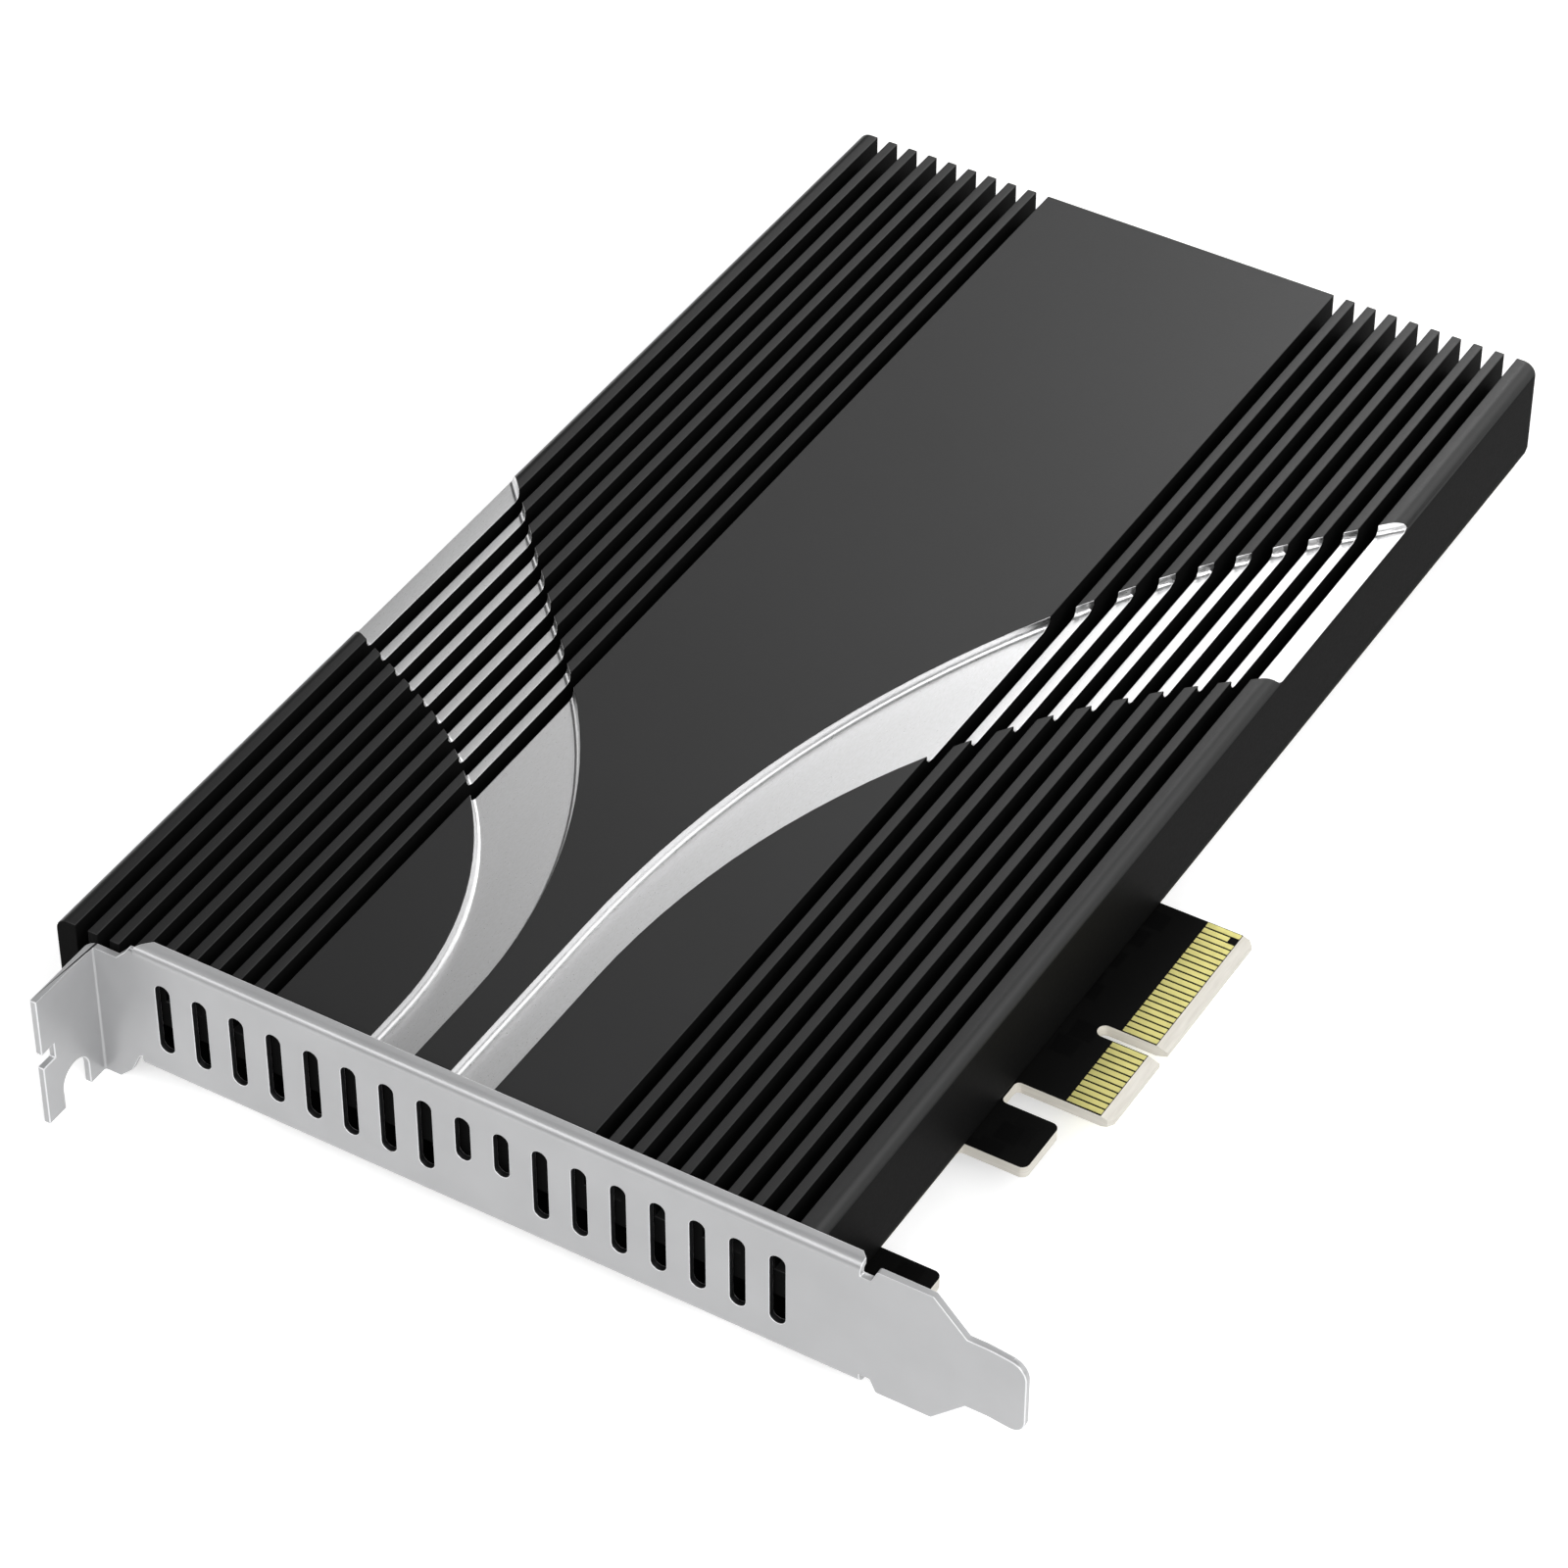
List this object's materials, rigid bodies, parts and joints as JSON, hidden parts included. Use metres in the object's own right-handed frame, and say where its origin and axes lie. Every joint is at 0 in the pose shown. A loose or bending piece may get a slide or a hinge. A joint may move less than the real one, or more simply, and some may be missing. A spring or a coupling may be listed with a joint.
{
  "type": "nvme adapter card",
  "caption": "Full-height add-in card that carries an M.2 drive under a long finned heatsink with two curved channels, with a vented bracket and card edge connector.",
  "frame": {"origin": "on the bracket's outer face, at the board's component side, level with the foot of the heatsink's wall beside the edge connector", "axes": "+X along the card away from the bracket, +Y from the edge connector to the bracket's screw flange, +Z from the board to the heatsink's fins"},
  "size_m": [0.1886, 0.125, 0.0215],
  "materials": {
    "black_anodised": "black anodised, satin, with bare machined channels",
    "board_mask": "matte black solder mask over glass epoxy with cream edges",
    "plated_steel": "nickel plated, satin",
    "gold": "gold plated",
    "screw_steel": "nickel plated",
    "socket_polymer": "moulded, matte black",
    "standoff_brass": "turned",
    "pad_rubber": "soft silicone, matte",
    "choke_body": "pressed powder, matte grey",
    "chip_epoxy": "moulded epoxy",
    "tank_case": "moulded case",
    "ceramic": "fired ceramic, tan",
    "light_lens": "clear lens"
  },
  "bodies": {
    "root": {"heatsink": "black_anodised", "circuit_board": "board_mask", "bracket": "plated_steel", "edge_contacts_component": "gold", "edge_contacts_solder": "gold", "heatsink_screws": "screw_steel", "bracket_screws": "screw_steel", "socket_housing": "socket_polymer", "socket_contacts": "gold", "socket_anchors": "plated_steel", "drive_standoffs": "standoff_brass", "drive_screw": "screw_steel", "drive_pad": "pad_rubber", "inductor": "choke_body", "regulator": "chip_epoxy", "input_capacitors": "tank_case", "output_capacitors": "tank_case", "coupling_capacitors": "ceramic", "resistors": "chip_epoxy", "clock_buffer": "chip_epoxy", "activity_light": "light_lens", "solder_side_capacitors": "ceramic"}
  },
  "joints": []
}
